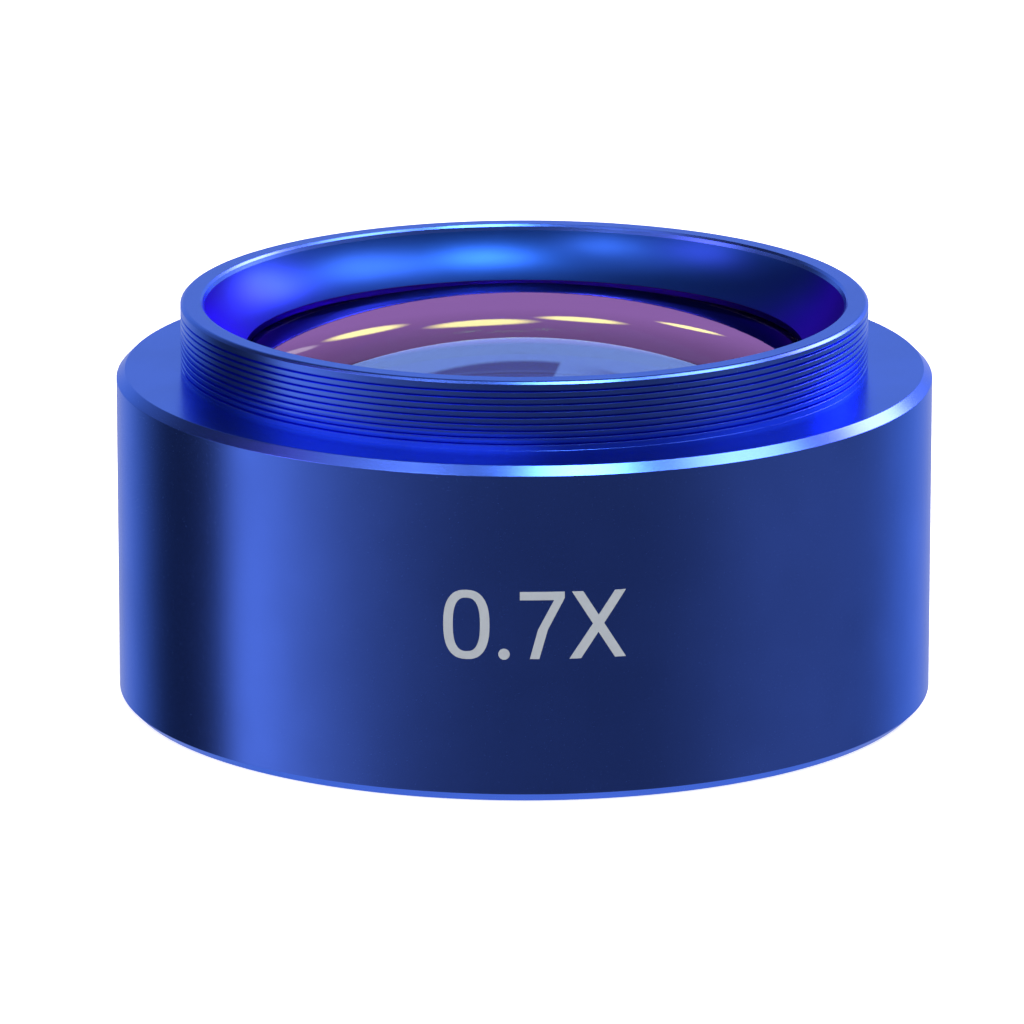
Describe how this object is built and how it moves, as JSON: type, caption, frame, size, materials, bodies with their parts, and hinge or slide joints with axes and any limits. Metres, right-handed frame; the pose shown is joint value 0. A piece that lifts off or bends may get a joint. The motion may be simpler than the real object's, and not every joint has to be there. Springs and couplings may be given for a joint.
{
  "type": "microscope auxiliary objective lens",
  "caption": "Short cylindrical reducing lens for a stereo microscope: a blue turned housing with a threaded collar on top and a domed coated lens set in its mouth.",
  "frame": {"origin": "centre of the foot, on the surface that the lens stands on", "axes": "+Z along the optical axis, from the foot to the threaded collar; the magnification figure faces -Y"},
  "size_m": [0.057, 0.057, 0.0282],
  "materials": {
    "blue_anodised_aluminium": "satin blue anodised, fine turning marks, bright cut chamfers",
    "coated_glass": "polished, with a magenta anti-reflection coating",
    "crown_glass": "polished, clear",
    "anodised_ring": "satin blue anodised"
  },
  "bodies": {
    "root": {"housing": "blue_anodised_aluminium", "upper_lens": "coated_glass", "lower_lens": "crown_glass", "retaining_ring": "anodised_ring"}
  },
  "joints": []
}
